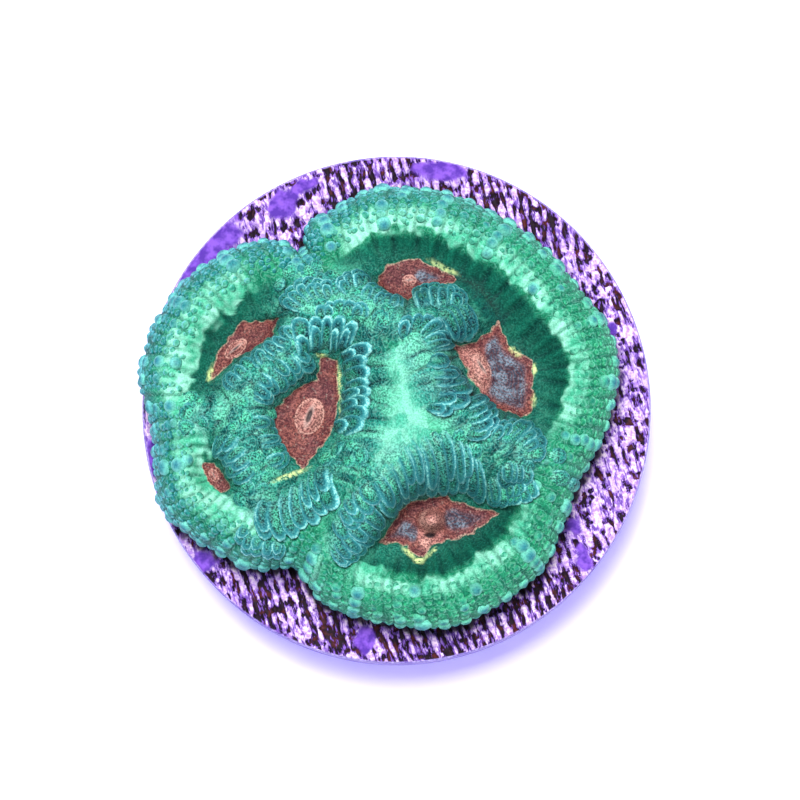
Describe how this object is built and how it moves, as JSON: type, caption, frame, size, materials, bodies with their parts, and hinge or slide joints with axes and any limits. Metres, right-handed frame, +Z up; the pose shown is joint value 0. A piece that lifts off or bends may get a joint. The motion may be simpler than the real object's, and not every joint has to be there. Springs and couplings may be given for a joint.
{
  "type": "brain coral colony on a disc",
  "caption": "Green brain coral colony with brown-red mouths, grown over a round grooved ceramic disc.",
  "frame": {"origin": "middle of the disc's flat underside", "axes": "+Z up through the disc, +X to the right and +Y away from a viewer who stands before the lobe with the cone-shaped mouth"},
  "size_m": [0.0323, 0.032, 0.014],
  "materials": {
    "coral_tissue": "satin",
    "disc_ceramic": "matte"
  },
  "bodies": {
    "root": {"coral_colony": "coral_tissue", "frag_disc": "disc_ceramic"}
  },
  "joints": []
}
